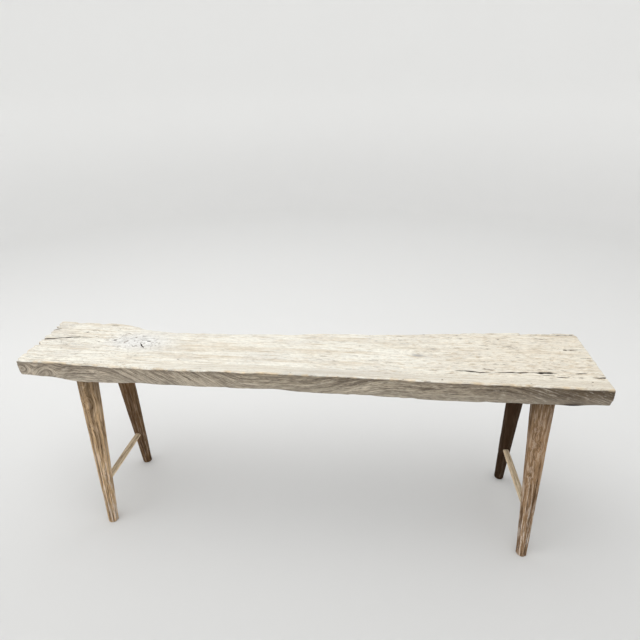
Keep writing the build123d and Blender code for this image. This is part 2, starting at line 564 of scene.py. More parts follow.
def plank_mesh():
    """The plank's closed skin, before it is weathered."""
    rings = plank_rings()
    skins = cap_rings(rings[0])[::-1] + rings + cap_rings(rings[-1])
    count = len(rings[0])
    points = np.concatenate(skins)
    # The underside has half as many rows and stations as the top.
    start = CAP_RINGS + 9
    stop = start + (len(skins) - 2 * start) // 2 * 2
    first = count - (FACE_ROWS + ARC_ROWS + TOP_ROWS) + 2
    last = first + (TOP_ROWS - 4) // 2 * 2
    faces = []
    for r in range(len(skins) - 1):
        for i in range(count):
            if start <= r < stop and first <= i < last:
                continue
            j = (i + 1) % count
            faces.append((r * count + i, r * count + j, (r + 1) * count + j, (r + 1) * count + i))
    for r in range(start, stop, 2):
        for i in range(first, last, 2):
            walk = [(0, 0), (0, 1), (0, 2), (1, 2), (2, 2), (2, 1), (2, 0), (1, 0)]
            skip = {(0, 1): r != start, (1, 2): i + 2 != last, (2, 1): r + 2 != stop, (1, 0): i != first}
            faces.append([(r + a) * count + i + b for a, b in walk if not skip.get((a, b), False)])
    for base in (0, (len(skins) - 1) * count):
        for i in range(count // 2 - 1):
            faces.append((base + i, base + i + 1, base + count - 2 - i, base + count - 1 - i))
    mesh = closed_mesh("plank", points, faces)

    def drop_loose(work):
        loose = [v for v in work.verts if not v.link_faces]
        bmesh.ops.delete(work, geom=loose, context="VERTS")

    edit(mesh, drop_loose)
    return mesh


def vertex_normals(mesh):
    """The mesh's vertex normals as an array."""
    normals = np.empty(len(mesh.vertices) * 3, np.float32)
    mesh.vertex_normals.foreach_get("vector", normals)
    return normals.reshape(-1, 3).astype(float)


def weathered(points, normals):
    """The plank's points after hewing, wear and weather."""
    x, y, z = points.T
    top = smooth(0.35, 0.8, normals[:, 2])
    fore = smooth(0.35, 0.8, -normals[:, 1])
    rear = smooth(0.35, 0.8, normals[:, 1])
    ends = smooth(0.45, 0.85, np.abs(normals[:, 0]))
    below = smooth(0.35, 0.8, -normals[:, 2])
    front = SHAPE.front(x)
    back = SHAPE.back(x)
    burl = np.exp(-(((x + 0.385) / 0.11) ** 2 + ((y + 0.005) / 0.07) ** 2))
    rough_end = smooth(0.2, 0.5, x) * (1 - smooth(-0.08, -0.02, y))
    slant = np.stack((x * 0.82 - z * 0.57, y, x * 0.57 + z * 0.82), 1)
    tool = smooth(-0.42, -0.36, x) * (1 - smooth(-0.17, -0.10, x))
    # Each relief: the part it covers, its coordinates, the size of its features, its seed and
    # octaves, its height and its level.
    reliefs = (
        # The top: slow hollows along the grain, a rough burl at the left and a rough right end.
        (top, points, (0.30, 0.07, 1), 21, 2, 0.0008, -0.0006),
        (top, points, (0.05, 0.007, 1), 22, 2, 0.00022, 0),
        (top * burl, points, (0.016, 0.012, 1), 23, 2, 0.0007, 0),
        (top * rough_end, points, (0.030, 0.006, 1), 24, 2, 0.0004, 0),
        # The faces: broad hewn flats, and slanting tool marks on the front.
        (fore, points, (0.07, 1, 0.022), 31, 2, 0.0009, -0.0004),
        (fore * tool, slant, (0.060, 1, 0.006), 32, 2, 0.00045, 0),
        (fore, points, (0.035, 1, 0.004), 33, 2, 0.00022, 0),
        (rear, points, (0.06, 1, 0.016), 34, 3, 0.0016, -0.0008),
        (ends, points, (1, 0.017, 0.012), 35, 3, 0.0018, -0.0010),
        (ends, points, (1, 0.045, 0.05), 36, 1, 0.0012, -0.0004),
        (below, points, (0.12, 0.03, 1), 37, 2, 0.0012, 0),
    )
    moved = np.zeros(len(points))
    for part, place, size, seed, octaves, height, level in reliefs:
        moved += part * (noise(place, size, seed, octaves) * height + level)
    weather = points + normals * moved[:, None]
    # The arrises: worn away unevenly, more at the left end and under the front.
    above = np.hypot(y - front, z - SEAT_TOP)
    bites = np.maximum(noise(points, (0.035, 1, 1), 41, 3) - 0.15, 0) * 0.0024
    weather[:, 2] -= bites * (1 - smooth(0.002, 0.011, above))
    under = SHAPE.under(x)
    low = np.hypot(y - front, z - under)
    ragged = np.maximum(noise(points, (0.030, 1, 1), 42, 3) - 0.25, 0) * 0.0026
    for centre, half, lift in LOWER_BUMPS:
        ragged += lift * MM * np.exp(-((x - centre) / half) ** 2)
    weather[:, 2] += ragged * (1 - smooth(0.003, 0.014, low))
    # The live back edge's chipped ledge near the right end.
    ledge_line = np.interp(x, (0.485, 0.50, 0.617), (0.14, 0.098, 0.107))
    ledge_line += noise(points, (0.02, 1, 1), 43, 2) * 0.002
    ledge = smooth(-0.001, 0.003, y - ledge_line) * (x > 0.485)
    weather[:, 2] -= 0.0035 * ledge * (z > SEAT_TOP - 0.012)
    # The left end leans in a little going down.
    left = 1 - smooth(0, 0.06, x - SHAPE.left(y))
    weather[:, 0] += left * 0.003 * smooth(0.004, 0.05, SEAT_TOP - z)
    edge = 1 - smooth(0, 0.020, x - SHAPE.left(y))
    weather[:, 0] += edge * np.maximum(noise(points, (1, 0.012, 0.03), 45, 3) - 0.1, 0) * 0.011
    weather[:, 0] -= left * 0.0035 * (1 - smooth(0.02, 0.10, y - front))
    # The right end swells at half its height near the front.
    right = 1 - smooth(0, 0.05, SHAPE.right(y) - x)
    weather[:, 0] -= right * 0.001 * smooth(0.026, 0.045, SEAT_TOP - z)
    nose = np.exp(-(((SEAT_TOP - z - 0.017) / 0.013) ** 2)) * (1 - smooth(0.01, 0.06, y - front))
    weather[:, 0] += right * nose * 0.0022
    # The live back edge: ragged at both ends, with a notch beside the left corner.
    live = 1 - smooth(0, 0.03, back - y)
    raggedness = 0.0008 + 0.0022 * (smooth(0.36, 0.42, -x) + smooth(0.30, 0.40, x))
    weather[:, 1] += live * raggedness * (noise(points, (0.022, 1, 0.03), 44, 3) - 0.5)
    for centre, half, depth in BACK_NOTCHES:
        weather[:, 1] -= live * depth * np.exp(-((x - centre) / half) ** 2)
    return weather


def blade(line, width, depth, open_end, seed):
    """A jagged wedge of space along a line, to cut a split."""
    path = np.array(line, float) * MM
    legs = np.hypot(*np.diff(path, axis=0).T)
    reach = np.concatenate(([0], np.cumsum(legs)))
    steps = np.linspace(0, reach[-1], max(9, int(reach[-1] / 0.003)))
    x = np.interp(steps, reach, path[:, 0])
    y = np.interp(steps, reach, path[:, 1])
    marks = np.stack((steps, np.full(len(steps), seed * 7.0), np.zeros(len(steps))), 1)
    y += noise(marks, (0.012, 1, 1), 51, 2) * 0.0008
    ragged = 1 + 0.35 * noise(marks, (0.009, 1, 1), 52, 2)
    share = steps / reach[-1]
    taper = np.sin(np.clip(share, 0, 1) * math.pi) ** 0.7
    if open_end == "first":
        taper = np.cos(share * math.pi / 2) ** 0.7
    if open_end == "last":
        taper = np.sin(share * math.pi / 2) ** 0.7
    half = np.maximum(width * MM / 2 * taper * ragged, 0.00012)
    deep = np.maximum(depth * MM * taper**0.6, 0.0006)
    rings = []
    for i in range(len(steps)):
        h, d = half[i], deep[i]
        side = np.array((-h * 1.15, h * 1.15, h, h * 0.93, h * 0.6, 0, -h * 0.7, -h * 0.95, -h))
        fall = np.array((0.005, 0.005, 0, -d * 0.16, -d * 0.55, -d, -d * 0.5, -d * 0.18, 0))
        rings.append(np.stack((np.full(len(side), x[i]), y[i] + side, SEAT_TOP + fall), 1))
    return lofted(f"split_{seed}", rings)


def pit_mesh(x, y, half_length, half_width, depth, seed):
    """A rough bowl of space, to cut a pit."""
    mesh = bpy.data.meshes.new("pit")
    edit(mesh, lambda work: bmesh.ops.create_icosphere(work, subdivisions=2, radius=1))
    points = mesh_points(mesh)
    points *= (1 + 0.2 * noise(points + seed, (0.9, 0.9, 0.9), 61))[:, None]
    size = np.array((half_length, half_width, depth)) * MM
    set_points(mesh, points * size + np.array((x * MM, y * MM, SEAT_TOP)))
    return mesh


def worm_hole_tree():
    """Small round holes scattered along a line."""
    group, tree, given = new_geometry_tree("worm_holes", (
        ("Line", "NodeSocketGeometry", None),
        ("Count", "NodeSocketInt", 60),
        ("Radius", "NodeSocketFloat", 0.0008),
        ("Spread", "NodeSocketVector", (0.0, 0.008, 0.0015)),
        ("Seed", "NodeSocketInt", 4),
        ("Material", "NodeSocketMaterial", None),
    ))
    curve = tree.add("GeometryNodeMeshToCurve", given["Line"]).outputs[0]
    dots = tree.add("GeometryNodeCurveToPoints", curve, given["Count"], mode="COUNT").outputs[0]
    seed = given["Seed"]
    minus = tree.scaled(given["Spread"], -1.0)
    thrown = tree.add("FunctionNodeRandomValue", minus, given["Spread"], data_type="FLOAT_VECTOR")
    tree.feed(thrown.inputs["Seed"], seed)
    spread = tree.add("GeometryNodeSetPosition", dots, None, None, thrown.outputs[0]).outputs[0]
    grown = tree.add("FunctionNodeRandomValue", None, None, 0.45, 1.5, data_type="FLOAT")
    tree.feed(grown.inputs["Seed"], tree.math("ADD", seed, 1))
    hole = tree.add("GeometryNodeMeshIcoSphere", given["Radius"], 2).outputs[0]
    placed = tree.add("GeometryNodeInstanceOnPoints", spread)
    tree.feed(placed.inputs["Instance"], hole)
    tree.feed(placed.inputs["Scale"], tree.scaled((1.5, 1.0, 1.0), grown.outputs[1]))
    end_geometry(tree, placed.outputs[0], given["Material"])
    return group


def plank_marks(mesh):
    """Keeps what the plank's material reads at each vertex.

    That is the grain's flow, the sides, the cut ends, the arrises, the burl, and the hollows that take
    painted shade.
    """
    points = mesh_points(mesh)
    normals = vertex_normals(mesh)
    x, y, z = points.T
    front = SHAPE.front(x)
    # Grain: along the plank, bowed round each knot, and swirling at the left of the front face.
    across = y.copy()
    for kx, ky, radius in KNOTS:
        dx, dy = x - kx * MM, y - ky * MM
        reach = radius * MM
        fade = np.exp(-((dx / (reach * 2.2)) ** 2) - (dy / (reach * 1.6)) ** 2)
        away = np.hypot(dx * 0.55, dy)
        across += fade * (np.sign(dy) * away - dy) * 0.8
    across += 0.004 * noise(points, (0.22, 0.2, 0.2), 71, 2)
    deep = z + 0.003 * noise(points, (0.10, 0.2, 0.2), 72, 2)
    face = 1 - smooth(0.0, 0.030, y - front)
    for cx, cz, wide, tall, turn in ((-0.556, 0.424, 0.050, 0.024, 0.5), (-0.600, 0.436, 0.026, 0.018, -0.3)):
        dx, dz = x - cx, z - cz
        rx = (dx * math.cos(turn) + dz * math.sin(turn)) / wide
        rz = (dz * math.cos(turn) - dx * math.sin(turn)) / tall
        away = np.sqrt(rx**2 + rz**2 + 0.02)
        fade = face * np.exp(-(away**2) * 0.9)
        deep += fade * (away * tall * 1.5 - (z - 0.42))
    stations = np.linspace(-0.65, 0.65, 400)
    lean = 0.60 * smooth(-0.43, -0.36, stations) * (1 - smooth(-0.17, -0.08, stations))
    lean -= 0.22 * smooth(-0.02, 0.06, stations) * (1 - smooth(0.16, 0.24, stations))
    lean += 0.30 * smooth(0.40, 0.47, stations)
    fallen = np.cumsum(lean) * (stations[1] - stations[0])
    deep += np.interp(x, stations, fallen) * face
    store(mesh, "grain", np.stack((x, across, deep), 1))
    # How much of a side a point is, from 0 on the top to 1 on the faces and underneath.
    edge = np.hypot(y - front, z - SEAT_TOP)
    drop = SEAT_TOP - z
    store(mesh, "side", np.maximum(1 - smooth(0.15, 0.62, normals[:, 2]), smooth(0.0055, 0.0095, drop)))
    store(mesh, "cut", smooth(0.55, 0.85, np.abs(normals[:, 0])) * (drop > 0.003))
    near_left = x - SHAPE.left(y)
    near_right = SHAPE.right(y) - x
    rim = np.minimum(edge, np.minimum(np.hypot(near_left, drop) * 0.8, np.hypot(near_right, drop) * 2.0))
    store(mesh, "arris", 1 - smooth(0.0010, 0.0065, rim))
    burl = np.exp(-(((x + 0.385) / 0.075) ** 2 + ((y + 0.012) / 0.040) ** 2) ** 1.5)
    store(mesh, "burl", burl)
    # Hollows, which take painted shade: points inside a split, a pit or a worm hole, which lie under the
    # plank's skin, and a painted shadow under the lump at the front face's lower arris.
    inside = (y > front + 0.006) & (y < SHAPE.back(x) - 0.012) & (near_left > 0.006) & (near_right > 0.006)
    sunk = smooth(0.0016, 0.006, drop) * inside * (z > SEAT_TOP - 0.030)
    steep = smooth(0.0006, 0.003, drop) * (1 - smooth(0.5, 0.8, normals[:, 2]))
    steep *= (y > front + 0.008) & (y < SHAPE.back(x) - 0.016) & (near_left > 0.010) & (near_right > 0.010)
    bite = np.exp(-(((x - 0.548) / 0.017) ** 4)) * smooth(0.0065, 0.0030, z - SHAPE.under(x)) * face
    store(mesh, "hollow_shade", np.maximum(np.maximum(sunk, steep), bite))


# ---- Legs and stretchers -------------------------------------------------

def hewn_round_tree():
    """A tapered round of hewn wood between two points, with flats, grooves and a rounded first end."""
    group, tree, given = new_geometry_tree("hewn_round", (
        ("Start", "NodeSocketVector", None),
        ("End", "NodeSocketVector", None),
        ("Across A", "NodeSocketVector", (1.0, 0.0, 0.0)),
        ("Across B", "NodeSocketVector", (0.0, 1.0, 0.0)),
        ("Start Radius", "NodeSocketFloat", 0.0135),
        ("End Radius", "NodeSocketFloat", 0.0265),
        ("Belly", "NodeSocketFloat", 0.0),
        ("Plain Length", "NodeSocketFloat", 0.0),
        ("Belly Length", "NodeSocketFloat", 0.03),
        ("Start Rounding", "NodeSocketFloat", 0.0015),
        ("Hewing", "NodeSocketFloat", 0.001),
        ("Flats", "NodeSocketFloat", 7.0),
        ("Grooves", "NodeSocketFloat", 0.0012),
        ("Sides", "NodeSocketInt", 96),
        ("Rings", "NodeSocketInt", 190),
        ("Seed", "NodeSocketFloat", 0.0),
        ("Material", "NodeSocketMaterial", None),
    ))
    tube = tree.add("GeometryNodeMeshCylinder", fill_type="NGON")
    tube_size = {"Vertices": given["Sides"], "Side Segments": given["Rings"], "Radius": 1.0, "Depth": 1.0}
    for label, value in tube_size.items():
        tree.feed(tube.inputs[label], value)
    px, py, pz = tree.parts(tree.add("GeometryNodeInputPosition").outputs[0])
    plain = tree.math("ADD", pz, 0.5)
    bent = tree.math("MULTIPLY_ADD", tree.math("COSINE", tree.times(plain, math.pi)), -0.5, 0.5)
    share = tree.math("MULTIPLY_ADD", bent, 0.6, tree.times(plain, 0.4))
    line = tree.vector("SUBTRACT", given["End"], given["Start"])
    length = tree.add("ShaderNodeVectorMath", line, operation="LENGTH").outputs[1]
    along = tree.times(share, length)
    spare = tree.math("SUBTRACT", length, along)
    near = tree.math("MINIMUM", along, spare)
    belly_end = tree.math("ADD", given["Plain Length"], given["Belly Length"])
    swell = tree.times(tree.remap(near, given["Plain Length"], belly_end), given["Belly"])
    taper = tree.math("SUBTRACT", given["End Radius"], given["Start Radius"])
    straight = tree.math("MULTIPLY_ADD", taper, share, given["Start Radius"])
    radius = tree.math("ADD", straight, swell)
    # The first end's rounding is a quarter circle.
    risen = tree.math("DIVIDE", along, given["Start Rounding"])
    lack = tree.math("MAXIMUM", tree.math("SUBTRACT", 1.0, risen), 0.0)
    level = tree.math("SQRT", tree.math("SUBTRACT", 1.0, tree.times(lack, lack)))
    drop = tree.math("SUBTRACT", 1.0, level)
    radius = tree.math("SUBTRACT", radius, tree.times(drop, given["Start Rounding"]))
    # Flats run up the wood and wander, grooves are narrow and deepest low down.
    seeded = tree.times(given["Seed"], 5.3)
    around = tree.joint(px, py, tree.math("ADD", along, seeded))
    wander = tree.noise(around, (0.8, 0.8, 5.0), 2.0)
    slow = tree.math("SUBTRACT", tree.noise(around, (1.3, 1.3, 13.0), 2.0), 0.5)
    angle = tree.math("ARCTAN2", py, px)
    phase = tree.math("MULTIPLY_ADD", angle, given["Flats"], tree.times(wander, 9.0))
    flat = tree.times(tree.math("SUBTRACT", tree.math("COSINE", phase), 1.0), 0.30)
    uneven = tree.math("MULTIPLY_ADD", slow, 1.7, flat)
    dent = tree.times(uneven, given["Hewing"])
    fine = tree.noise(around, (7.5, 7.5, 9.0), 2.0, 0.6)
    groove = tree.times(tree.remap(fine, 0.50, 0.36), given["Grooves"])
    low = tree.remap(share, 0.12, 0.55, 1.0, 0.30)
    dent = tree.math("SUBTRACT", dent, tree.times(groove, low))
    shown = tree.remap(near, tree.math("MULTIPLY_ADD", given["Plain Length"], 0.9, -0.001),
                       tree.math("ADD", given["Plain Length"], 0.004))
    radius = tree.math("ADD", radius, tree.times(dent, shown))
    centre = tree.vector("MULTIPLY_ADD", line, tree.joint(share, share, share), given["Start"])
    side_a = tree.scaled(given["Across A"], tree.times(px, radius))
    side_b = tree.scaled(given["Across B"], tree.times(py, radius))
    place = tree.vector("ADD", centre, tree.vector("ADD", side_a, side_b))
    shaped = tree.add("GeometryNodeSetPosition", tube.outputs[0], None, place).outputs[0]
    end_geometry(tree, shaped, given["Material"])
    return group


class LegLine:
    """One packed leg's axis, its shoulder and its tip, measured from its node."""

    def __init__(self, corner):
        points = np.array([tuple(v.co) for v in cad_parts["leg_" + corner].data.vertices])
        foot = points[points[:, 2] < 0.0002]
        high = points[points[:, 2] > points[:, 2].max() - 0.045]
        levels, counts = np.unique(np.round(high[:, 2], 4), return_counts=True)
        self.shoulder_level = float(levels[np.argmax(counts)])
        ring = points[np.abs(points[:, 2] - self.shoulder_level) < 0.0002]
        self.foot = Vector((foot.min(0) + foot.max(0)) / 2)
        self.shoulder = Vector((ring.min(0) + ring.max(0)) / 2)
        self.way = (self.shoulder - self.foot).normalized()
        self.foot_radius = (np.ptp(foot[:, 0]) + np.ptp(foot[:, 1])) / 4 + 0.0015
        self.top_radius = (np.ptp(ring[:, 0]) + np.ptp(ring[:, 1])) / 4
        reach = float(((points - np.array(self.foot)) @ np.array(self.way)).max())
        self.tip = self.foot + self.way * reach


def rod_line(node):
    """A packed stretcher's two ends, the front one first."""
    points = np.array([tuple(v.co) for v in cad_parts[node].data.vertices])
    centre = points.mean(0)
    way = np.linalg.svd(points - centre)[2][0]
    way = way if way[1] > 0 else -way
    reach = (points - centre) @ way
    front = points[reach < reach.min() + 0.0002]
    back = points[reach > reach.max() - 0.0002]
    return Vector(front.mean(0)), Vector(back.mean(0))


def kerf_mesh(corner):
    """Space for the wedge, a little larger than it and open at the tenon's end."""
    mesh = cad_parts["wedge_" + corner].data.copy()

    def swell(work):
        bmesh.ops.remove_doubles(work, verts=work.verts, dist=0.00001)
        work.normal_update()
        for v in work.verts:
            v.co += v.normal * KERF_CLEARANCE

    edit(mesh, swell)
    return mesh


def wood_marks(mesh, start, end, radii, hue, seed, knots=()):
    """Keeps the wood's own coordinates, its hue and its grooves at each vertex."""
    points = mesh_points(mesh)
    way = np.array(end) - np.array(start)
    length = np.linalg.norm(way)
    way /= length
    off = points - np.array(start)
    along = off @ way
    side = off - np.outer(along, way)
    away = np.linalg.norm(side, axis=1)
    angle = np.arctan2(side[:, 1], side[:, 0])
    bowed = np.zeros(len(points))
    for height, turn, size in knots:
        dx = np.angle(np.exp(1j * (angle - turn))) * away
        dz = along - height
        ring = np.hypot(dx, dz * 0.6)
        fade = np.exp(-((dx / (size * 1.7)) ** 2) - (dz / (size * 2.6)) ** 2)
        bowed += fade * (ring - np.abs(dx)) * 1.2
    grain = np.stack((side[:, 0] + seed + bowed, side[:, 1] + side[:, 2] + bowed, along + seed * 3.1), 1)
    nominal = radii[0] + (radii[1] - radii[0]) * np.clip(along / length, 0, 1)
    store(mesh, "grain", grain)
    store(mesh, "hue", np.tile(np.array(hue)[:3], (len(points), 1)))
    store(mesh, "groove", smooth(0.0004, 0.0018, nominal - away) * (along < length - 0.002))
    # The height up the piece and how far each point faces up, which the material uses for painted shade; the
    # height also places the pale fibres.
    store(mesh, "rise", along / length)
    store(mesh, "upper", vertex_normals(mesh)[:, 2])


# ---- Materials -----------------------------------------------------------

def plank_wood(look):
    """Bleached plank wood: pale streaky top, greyer hewn faces that darken to the right partly by painted
    shade, warm worn arrises, and painted shade in the splits.
    """
    material, tree, shader = new_material("bleached plank")
    grain = tree.attribute("grain", vector=True)
    place = tree.add("ShaderNodeTexCoord").outputs["Object"]
    x, _, z = tree.parts(place)
    side = tree.attribute("side")
    arris = tree.attribute("arris")
    burl = tree.attribute("burl")
    hollow_shade = tree.attribute("hollow_shade")
    band = tree.noise(grain, (3.5, 60.0, 60.0), 4.0, 0.6)
    streak = tree.noise(grain, (13.0, 180.0, 210.0), 5.0, 0.68)
    fibre = tree.noise(grain, (24.0, 780.0, 780.0), 4.0, 0.65)
    mottle = tree.noise(grain, (62.0, 150.0, 190.0), 5.0, 0.7)
    cloud = tree.noise(place, (6.0, 15.0, 15.0), 3.0, 0.55)
    pore = tree.remap(tree.noise(grain, (85.0, 330.0, 330.0), 3.0, 0.6), 0.62, 0.74)
    wrinkle = tree.ridges(tree.noise(grain, (30.0, 85.0, 85.0), 4.0, 0.6, 0.8), 4.0, 0.075)
    check = tree.ridges(tree.noise(grain, (9.0, 75.0, 75.0), 4.0, 0.6, 0.7), 3.0, 0.035)
    # The top: cream, with broken tan streaks, grey patches and a tanned right end.
    top = tree.mix(tree.remap(band, 0.44, 0.68, 0.0, 0.55), look["top_light"], look["top_tan"])
    top = tree.mix(tree.remap(cloud, 0.46, 0.66, 0.0, 0.50), top, look["top_grey"])
    drift = tree.math("MULTIPLY_ADD", cloud, 0.5, x)
    right = tree.remap(drift, 0.35, 0.80)
    top = tree.mix(tree.times(right, 0.60), top, look["top_rose"])
    top = tree.mix(tree.remap(streak, 0.50, 0.72, 0.0, 0.85), top, look["top_tan"])
    top = tree.mix(tree.remap(streak, 0.44, 0.30, 0.0, 0.60), top, look["top_light"])
    rough_part = tree.remap(drift, 0.15, 0.75, 0.35, 1.0)
    top = tree.mix(tree.times(tree.remap(mottle, 0.52, 0.68), rough_part), top, look["top_tan"])
    dash = tree.remap(tree.noise(grain, (34.0, 130.0, 190.0), 4.0, 0.7), 0.58, 0.67)
    top = tree.mix(tree.times(dash, rough_part, 0.75), top, look["line"])
    # The burl at the left: whitened, with wrinkles and dark flecks.
    left = tree.remap(drift, -0.02, -0.22)
    whiteness = tree.times(burl, tree.remap(cloud, 0.3, 0.6, 0.55, 1.0))
    top = tree.mix(whiteness, top, look["burl"])
    top = tree.mix(tree.times(wrinkle, burl, 0.60), top, look["line"])
    top = tree.mix(tree.times(check, left, 0.55), top, look["line"])
    fleck = tree.remap(tree.noise(grain, (130.0, 120.0, 120.0), 3.0, 0.6), 0.57, 0.68)
    top = tree.mix(tree.times(fleck, burl, 0.70), top, look["line"])
    for spot_x, spot_y, wide, deep, amount in STAINS:
        centre = (spot_x * MM, spot_y * MM, SEAT_TOP)
        across = (1000 / wide, 1000 / deep, 0.0)
        away = tree.vector("MULTIPLY", tree.vector("SUBTRACT", place, centre), across)
        far = tree.add("ShaderNodeVectorMath", away, operation="LENGTH").outputs[1]
        soft = tree.swing(streak, 2.2, far)
        top = tree.mix(tree.remap(soft, 1.35, 0.25, 0.0, amount), top, look["stain"])
    # The faces: browner and darker to the right, partly the wood's own colour and partly painted shade for
    # light falling from the left, with fine dark and pale grain lines.
    spread = tree.add("ShaderNodeMapRange", x, SEAT_LOW.x, SEAT_HIGH.x, 0.0, 1.0).outputs[0]
    ramp = tree.add("ShaderNodeValToRGB", spread)
    stops = ramp.color_ramp.elements
    stops[0].color, stops[1].color = look["face_left"], look["face_right"]
    stops[0].position, stops[1].position = 0.10, 0.94
    for place_along in (0.45, 0.66):
        stops.new(place_along).color = look["face_middle"]
    grain_line = tree.ridges(tree.noise(grain, (8.0, 60.0, 130.0), 4.0, 0.6, 0.2), 7.0, 0.20)
    fine_line = tree.ridges(tree.noise(grain, (16.0, 60.0, 210.0), 3.0, 0.6, 0.2), 6.0, 0.24)
    face = tree.mix(tree.remap(band, 0.36, 0.52, 0.35, 0.0), ramp.outputs[0], look["face_dark"])
    face = tree.mix(tree.remap(streak, 0.46, 0.68, 0.0, 0.75), face, look["face_dark"])
    face = tree.mix(tree.remap(streak, 0.46, 0.30, 0.0, 0.70), face, look["face_pale"])
    face = tree.mix(tree.times(grain_line, 0.60), face, look["face_dark"])
    face = tree.mix(tree.times(fine_line, 0.50), face, look["face_dark"])
    face = tree.mix(tree.remap(mottle, 0.52, 0.70, 0.0, 0.45), face, look["face_pale"])
    low = tree.remap(z, SEAT_TOP - 0.016, SEAT_TOP - 0.040, 0.0, 0.25)
    face = tree.mix(low, face, look["face_pale"])
    under_rim = tree.remap(z, SEAT_TOP - 0.013, SEAT_TOP - 0.003, 0.0, 0.35)
    face = tree.mix(under_rim, face, look["face_dark"])
    # The sawn ends: growth rings that arch over the plank's underside, crossed by fine checks.
    centre = tree.vector("SUBTRACT", place, (0.0, 0.02, SEAT_LOW.z - 0.10))
    arch = tree.vector("MULTIPLY", tree.vector("ADD", centre, tree.scaled(grain, 0.02)), (0.0, 1.0, 1.0))
    depth = tree.add("ShaderNodeVectorMath", arch, operation="LENGTH").outputs[1]
    depth = tree.math("MULTIPLY_ADD", cloud, 0.012, depth)
    rings = tree.ridges(depth, 210.0, 0.30)
    sawn = tree.mix(tree.times(rings, 0.55), ramp.outputs[0], look["face_dark"])
    ray = tree.ridges(tree.noise(place, (20.0, 70.0, 12.0), 3.0, 0.6, 0.3), 3.0, 0.03)
    sawn = tree.mix(tree.times(ray, 0.6), sawn, look["line"])
    face = tree.mix(tree.attribute("cut"), face, sawn)
    body = tree.mix(side, top, face)
    rubbed = tree.remap(tree.noise(place, (55.0, 55.0, 55.0), 3.0), 0.42, 0.66, 0.0, 0.75)
    glow = tree.times(arris, rubbed)
    body = tree.mix(glow, body, look["rim"])
    speck = tree.noise(grain, (75.0, 190.0, 230.0), 4.0, 0.7)
    light = tree.swing(fibre, 0.40, 1.0)
    light = tree.swing(speck, 0.80, light)
    light = tree.math("SUBTRACT", light, tree.times(pore, 0.26))
    body = tree.tinted(body, light)
    # Painted shade inside the splits, pits and worm holes, and painted shadow under the front face's low
    # lump.
    body = tree.mix(hollow_shade, body, look["deep"])
    relief = tree.math("MULTIPLY_ADD", fibre, 0.40, tree.times(streak, 0.80))
    relief = tree.math("MULTIPLY_ADD", mottle, 0.5, relief)
    relief = tree.math("MULTIPLY_ADD", pore, -0.35, relief)
    relief = tree.math("MULTIPLY_ADD", tree.times(wrinkle, burl), -0.5, relief)
    relief = tree.math("MULTIPLY_ADD", tree.times(grain_line, side), -0.35, relief)
    finish_wood(tree, shader, body, tree.remap(fibre, 0.25, 0.75, 0.97, 0.82), 0.8, 0.0014, relief)
    return material


def round_wood(name, look, contrast):
    """Hewn round wood, in the hue kept in the mesh.

    It has streaks along the grain, dark grooves and pale worn fibres, with painted shadow towards a leg's top
    and painted shade on the undersides.
    """
    material, tree, shader = new_material(name)
    grain = tree.attribute("grain", vector=True)
    hue = tree.attribute("hue", vector=True)
    groove = tree.attribute("groove")
    band = tree.noise(grain, (95.0, 95.0, 5.0), 3.0, 0.55)
    streak = tree.noise(grain, (260.0, 260.0, 17.0), 5.0, 0.70)
    fibre = tree.noise(grain, (800.0, 800.0, 45.0), 3.0, 0.65)
    shadeful = tree.swing(band, contrast, 1.0)
    shadeful = tree.swing(streak, contrast * 1.15, shadeful)
    shadeful = tree.swing(fibre, contrast * 0.7, shadeful)
    rise = tree.attribute("rise")
    # Painted shadow: darker towards the top of a leg, where it meets the seat.
    shadeful = tree.times(shadeful, tree.remap(rise, 0.70, 0.96, 1.0, look["painted_seat_shadow"]))
    shadeful = tree.times(shadeful, tree.remap(rise, 0.92, 1.0, 1.0, look["painted_seat_shadow"]))
    # Painted shade: darker where the wood faces down, a little lighter where it faces up.
    painted_up_down_shade = tree.remap(tree.attribute("upper"), -0.8, 0.8, look["painted_underside_shade"], 1.08)
    shadeful = tree.times(shadeful, painted_up_down_shade)
    body = tree.tinted(hue, shadeful)
    worn = tree.remap(rise, 0.70, 0.10, 0.25, 0.90)
    worn = tree.times(worn, tree.remap(tree.parts(hue)[0], 0.10, 0.34, 0.05, 1.0))
    body = tree.mix(tree.times(tree.remap(streak, 0.49, 0.61, 0.0, 1.0), worn), body, look["pale"])
    body = tree.mix(tree.remap(streak, 0.46, 0.32, 0.0, 0.75), body, look["dark"])
    body = tree.mix(tree.remap(fibre, 0.44, 0.28, 0.0, 0.6), body, look["dark"])
    body = tree.mix(tree.times(groove, 0.70), body, look["dark"])
    shader.inputs["Specular IOR Level"].default_value = 0.15
    relief = tree.math("MULTIPLY_ADD", fibre, 0.4, streak)
    finish_wood(tree, shader, body, tree.remap(streak, 0.3, 0.7, 0.95, 0.80), 0.8, 0.0011, relief)
    return material


def wedge_wood():
    """Plain split hardwood for the hidden wedges."""
    material, tree, shader = new_material("split wedge")
    place = tree.add("ShaderNodeTexCoord").outputs["Object"]
    streak = tree.noise(place, (700.0, 700.0, 40.0), 4.0, 0.6)
    body = tree.mix(streak, colour((196, 160, 118)), colour((142, 104, 68)))
    finish_wood(tree, shader, body, tree.remap(streak, 0.3, 0.7, 0.75, 0.6), 0.5, 0.0004, streak)
    return material


